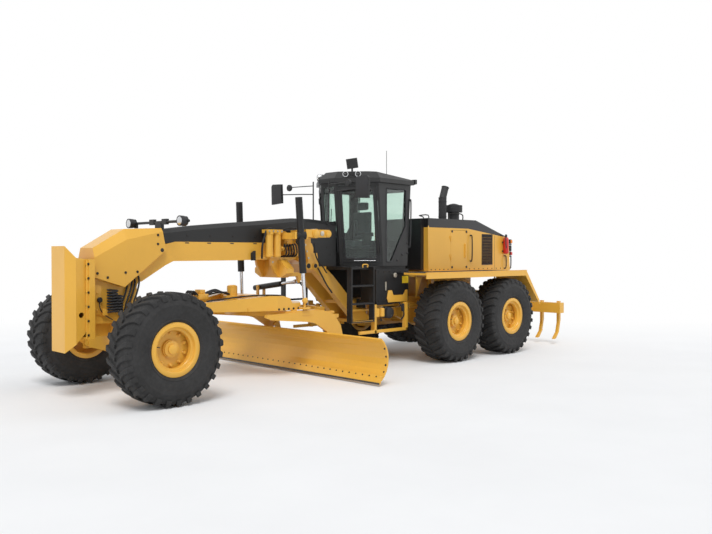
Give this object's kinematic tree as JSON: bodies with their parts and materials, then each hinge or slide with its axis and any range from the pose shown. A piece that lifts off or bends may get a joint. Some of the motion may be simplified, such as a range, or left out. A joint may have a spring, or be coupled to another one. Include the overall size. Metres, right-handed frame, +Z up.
{
  "type": "motor grader",
  "caption": "Large articulated motor grader with leaning front wheels, shiftable blade on a turning circle, enclosed cab, tandem drive and rear ripper",
  "frame": {"origin": "centre of the bounding box on the ground plane", "axes": "+X forward along the machine, +Y to the left, +Z up"},
  "size_m": [11.67, 4.877, 4.18],
  "materials": {
    "yellow_paint": "semi-gloss",
    "charcoal_paint": "satin",
    "black_paint": "satin",
    "bare_steel": "polished",
    "tyre_rubber": "matte",
    "tinted_glass": "clear",
    "dark_plastic": "matte",
    "seat_cloth": "matte"
  },
  "bodies": {
    "rear": {"rear_frame": "yellow_paint", "hood": "yellow_paint", "fenders": "yellow_paint", "tandem_cases": "yellow_paint", "exhaust": "black_paint"},
    "front": {"front_frame": "yellow_paint", "frame_cover": "charcoal_paint", "nose_cover": "yellow_paint", "push_block": "yellow_paint", "lift_saddle": "yellow_paint", "cab_shell": "charcoal_paint", "cab_roof": "charcoal_paint", "cab_glass": "tinted_glass", "cab_interior": "dark_plastic", "operator_seat": "seat_cloth", "side_tanks_steps": "black_paint", "front_axle": "yellow_paint"},
    "lean_yoke_left": {"lean_yoke_left": "yellow_paint"},
    "lean_yoke_right": {"lean_yoke_right": "yellow_paint"},
    "lean_bar": {"lean_bar": "yellow_paint"},
    "knuckle_left": {"knuckle_left": "yellow_paint"},
    "knuckle_right": {"knuckle_right": "yellow_paint"},
    "tie_rod_end": {"tie_rod_end": "bare_steel"},
    "tie_rod": {"tie_rod": "yellow_paint"},
    "steer_rods": {"steer_rods": "bare_steel"},
    "drawbar_ball": {"drawbar_ball": "bare_steel"},
    "drawbar": {"drawbar": "yellow_paint"},
    "lift_barrel_left": {"lift_barrel_left": "black_paint"},
    "lift_barrel_right": {"lift_barrel_right": "black_paint"},
    "lift_rod_left": {"lift_rod_left": "bare_steel"},
    "lift_rod_right": {"lift_rod_right": "bare_steel"},
    "shift_barrel": {"shift_barrel": "black_paint"},
    "shift_rod": {"shift_rod": "bare_steel"},
    "circle": {"circle": "yellow_paint"},
    "blade_carrier": {"blade_carrier": "yellow_paint"},
    "tip_rods": {"tip_rods": "bare_steel"},
    "moldboard": {"moldboard": "yellow_paint"},
    "ripper_arms": {"ripper_arms": "yellow_paint"},
    "ripper_links": {"ripper_links": "yellow_paint"},
    "ripper": {"ripper": "yellow_paint"},
    "ripper_barrel": {"ripper_barrel": "black_paint"},
    "ripper_rod": {"ripper_rod": "bare_steel"},
    "cab_door_left": {"cab_door_left": "charcoal_paint"},
    "cab_door_right": {"cab_door_right": "charcoal_paint"},
    "hood_door_left": {"hood_door_left": "yellow_paint"},
    "hood_door_right": {"hood_door_right": "yellow_paint"},
    "art_rod_left": {"art_rod_left": "bare_steel"},
    "art_rod_right": {"art_rod_right": "bare_steel"},
    "wheel_front_left": {"tyre_front_left": "tyre_rubber", "rim_front_left": "yellow_paint"},
    "wheel_front_right": {"tyre_front_right": "tyre_rubber", "rim_front_right": "yellow_paint"},
    "wheel_mid_left": {"tyre_mid_left": "tyre_rubber", "rim_mid_left": "yellow_paint"},
    "wheel_mid_right": {"tyre_mid_right": "tyre_rubber", "rim_mid_right": "yellow_paint"},
    "wheel_rear_left": {"tyre_rear_left": "tyre_rubber", "rim_rear_left": "yellow_paint"},
    "wheel_rear_right": {"tyre_rear_right": "tyre_rubber", "rim_rear_right": "yellow_paint"}
  },
  "joints": [
    {"name": "articulation", "type": "hinge", "parent": "rear", "child": "front", "pos_m": [-0.755, 0, 1.02], "axis": [0, 0, 1], "range_deg": [-20, 20]},
    {"name": "lean_left", "type": "hinge", "parent": "front", "child": "lean_yoke_left", "pos_m": [4.86, 0.9, 0.7], "axis": [1, 0, 0], "range_deg": [-18, 18]},
    {"name": "lean_right", "type": "hinge", "parent": "front", "child": "lean_yoke_right", "pos_m": [4.86, -0.9, 0.7], "axis": [1, 0, 0], "range_deg": [-18, 18]},
    {"name": "lean_bar_level", "type": "hinge", "parent": "lean_yoke_left", "child": "lean_bar", "pos_m": [4.86, 0.9, 1.01], "axis": [1, 0, 0], "range_deg": [-18, 18]},
    {"name": "steer_left", "type": "hinge", "parent": "lean_yoke_left", "child": "knuckle_left", "pos_m": [4.86, 1.06, 0.805], "axis": [0, 0, 1], "range_deg": [-47.5, 47.5]},
    {"name": "steer_right", "type": "hinge", "parent": "lean_yoke_right", "child": "knuckle_right", "pos_m": [4.86, -1.06, 0.805], "axis": [0, 0, 1], "range_deg": [-47.5, 47.5]},
    {"name": "tie_end_turn", "type": "hinge", "parent": "knuckle_left", "child": "tie_rod_end", "pos_m": [4.58, 1.06, 0.54], "axis": [0, 0, 1], "range_deg": [-47.5, 47.5]},
    {"name": "tie_rod_level", "type": "hinge", "parent": "tie_rod_end", "child": "tie_rod", "pos_m": [4.58, 1.06, 0.54], "axis": [1, 0, 0], "range_deg": [-18, 18]},
    {"name": "steer_rod_slide", "type": "slide", "parent": "front", "child": "steer_rods", "axis": [0, 1, 0], "range_m": [-0.215, 0.215]},
    {"name": "wheel_front_left_spin", "type": "hinge", "parent": "knuckle_left", "child": "wheel_front_left", "pos_m": [4.86, 1.351, 0.805], "axis": [0, 1, 0], "continuous": true},
    {"name": "wheel_front_right_spin", "type": "hinge", "parent": "knuckle_right", "child": "wheel_front_right", "pos_m": [4.86, -1.351, 0.805], "axis": [0, 1, 0], "continuous": true},
    {"name": "wheel_mid_left_spin", "type": "hinge", "parent": "rear", "child": "wheel_mid_left", "pos_m": [-1.585, 1.351, 0.805], "axis": [0, 1, 0], "continuous": true},
    {"name": "wheel_mid_right_spin", "type": "hinge", "parent": "rear", "child": "wheel_mid_right", "pos_m": [-1.585, -1.351, 0.805], "axis": [0, 1, 0], "continuous": true},
    {"name": "wheel_rear_left_spin", "type": "hinge", "parent": "rear", "child": "wheel_rear_left", "pos_m": [-3.425, 1.351, 0.805], "axis": [0, 1, 0], "continuous": true},
    {"name": "wheel_rear_right_spin", "type": "hinge", "parent": "rear", "child": "wheel_rear_right", "pos_m": [-3.425, -1.351, 0.805], "axis": [0, 1, 0], "continuous": true},
    {"name": "drawbar_lift", "type": "hinge", "parent": "front", "child": "drawbar_ball", "pos_m": [4.465, 0, 1], "axis": [0, 1, 0], "range_deg": [-10, 8.5]},
    {"name": "drawbar_swing", "type": "hinge", "parent": "drawbar_ball", "child": "drawbar", "pos_m": [4.465, 0, 1], "axis": [0, 0, 1], "range_deg": [-7, 7]},
    {"name": "lift_roll_left", "type": "hinge", "parent": "front", "child": "lift_barrel_left", "pos_m": [1.925, 0.87, 2.45], "axis": [0.9449, -0.3273, 0], "range_deg": [-17, 17]},
    {"name": "lift_slide_left", "type": "slide", "parent": "lift_barrel_left", "child": "lift_rod_left", "axis": [-0.0517, 0.0267, -0.9983], "range_m": [-0.4, 0.47]},
    {"name": "lift_roll_right", "type": "hinge", "parent": "front", "child": "lift_barrel_right", "pos_m": [1.925, -0.87, 2.45], "axis": [0.9449, 0.3273, 0], "range_deg": [-17, 17]},
    {"name": "lift_slide_right", "type": "slide", "parent": "lift_barrel_right", "child": "lift_rod_right", "axis": [-0.0517, -0.0267, -0.9983], "range_m": [-0.4, 0.47]},
    {"name": "shift_pivot", "type": "hinge", "parent": "drawbar", "child": "shift_barrel", "pos_m": [1.505, -0.78, 1.5], "axis": [1, 0, 0], "range_deg": [-25, 25]},
    {"name": "shift_slide", "type": "slide", "parent": "shift_barrel", "child": "shift_rod", "axis": [-0.0184, 0.9915, 0.1285], "range_m": [-0.36, 0.36]},
    {"name": "circle_turn", "type": "hinge", "parent": "drawbar", "child": "circle", "pos_m": [1.795, 0, 1.117], "axis": [0, 0, 1], "continuous": true},
    {"name": "blade_tip", "type": "hinge", "parent": "circle", "child": "blade_carrier", "pos_m": [1.115, 0, 0.38], "axis": [0, 1, 0], "range_deg": [-5, 40]},
    {"name": "tip_slide", "type": "slide", "parent": "circle", "child": "tip_rods", "axis": [0.5547, 0, -0.8321], "range_m": [-0.03, 0.22]},
    {"name": "side_shift", "type": "slide", "parent": "blade_carrier", "child": "moldboard", "axis": [0, -1, 0], "range_m": [-0.74, 0.79]},
    {"name": "ripper_lift", "type": "hinge", "parent": "rear", "child": "ripper_arms", "pos_m": [-4.965, 0, 0.64], "axis": [0, 1, 0], "range_deg": [-62, 4]},
    {"name": "ripper_level", "type": "hinge", "parent": "ripper_arms", "child": "ripper", "pos_m": [-5.495, 0, 0.8], "axis": [0, 1, 0], "range_deg": [-4, 62]},
    {"name": "ripper_link_turn", "type": "hinge", "parent": "rear", "child": "ripper_links", "pos_m": [-4.965, 0, 0.88], "axis": [0, 1, 0], "range_deg": [-62, 4]},
    {"name": "ripper_barrel_turn", "type": "hinge", "parent": "rear", "child": "ripper_barrel", "pos_m": [-4.945, 0, 1.33], "axis": [0, 1, 0], "range_deg": [-37, 3]},
    {"name": "ripper_rod_slide", "type": "slide", "parent": "ripper_barrel", "child": "ripper_rod", "axis": [-0.9031, 0, -0.4294], "range_m": [-0.03, 0.32]},
    {"name": "cab_door_left_turn", "type": "hinge", "parent": "front", "child": "cab_door_left", "pos_m": [-0.09125, 0.81801, 2.68913], "axis": [0.0841, 0.0031, 0.9965], "range_deg": [0, 85]},
    {"name": "cab_door_right_turn", "type": "hinge", "parent": "front", "child": "cab_door_right", "pos_m": [-0.09125, -0.81801, 2.68913], "axis": [-0.0841, 0.0031, -0.9965], "range_deg": [0, 85]},
    {"name": "hood_door_left_turn", "type": "hinge", "parent": "rear", "child": "hood_door_left", "pos_m": [-2.3975, 0.762, 2.22], "axis": [0, 0, -1], "range_deg": [0, 100]},
    {"name": "hood_door_right_turn", "type": "hinge", "parent": "rear", "child": "hood_door_right", "pos_m": [-2.3975, -0.762, 2.22], "axis": [0, 0, 1], "range_deg": [0, 100]},
    {"name": "articulation_rod_left", "type": "slide", "parent": "rear", "child": "art_rod_left", "axis": [1, 0, 0], "range_m": [-0.2, 0.2]},
    {"name": "articulation_rod_right", "type": "slide", "parent": "rear", "child": "art_rod_right", "axis": [1, 0, 0], "range_m": [-0.2, 0.2]}
  ],
  "couplings": [
    {"joint": "lean_right", "follows": "lean_left", "ratio": 1},
    {"joint": "lean_bar_level", "follows": "lean_left", "ratio": -1},
    {"joint": "steer_right", "follows": "steer_left", "ratio": 1},
    {"joint": "tie_end_turn", "follows": "steer_left", "ratio": -1},
    {"joint": "tie_rod_level", "follows": "lean_left", "ratio": -0.852},
    {"joint": "steer_rod_slide", "follows": "steer_left", "m_per_rad": -0.249},
    {"joint": "lift_roll_left", "follows": "drawbar_swing", "ratio": -2.385},
    {"joint": "lift_slide_left", "follows": "drawbar_lift", "m_per_rad": -2.605},
    {"joint": "lift_roll_right", "follows": "drawbar_swing", "ratio": -2.385},
    {"joint": "lift_slide_right", "follows": "drawbar_lift", "m_per_rad": -2.605},
    {"joint": "shift_pivot", "follows": "drawbar_lift", "ratio": -2.35},
    {"joint": "shift_slide", "follows": "drawbar_swing", "m_per_rad": 2.94},
    {"joint": "tip_slide", "follows": "blade_tip", "m_per_rad": 0.309},
    {"joint": "ripper_level", "follows": "ripper_lift", "ratio": -1},
    {"joint": "ripper_link_turn", "follows": "ripper_lift", "ratio": 1},
    {"joint": "ripper_barrel_turn", "follows": "ripper_lift", "ratio": 0.575},
    {"joint": "ripper_rod_slide", "follows": "ripper_lift", "m_per_rad": -0.285},
    {"joint": "articulation_rod_left", "follows": "articulation", "m_per_rad": -0.55},
    {"joint": "articulation_rod_right", "follows": "articulation", "m_per_rad": 0.55}
  ]
}
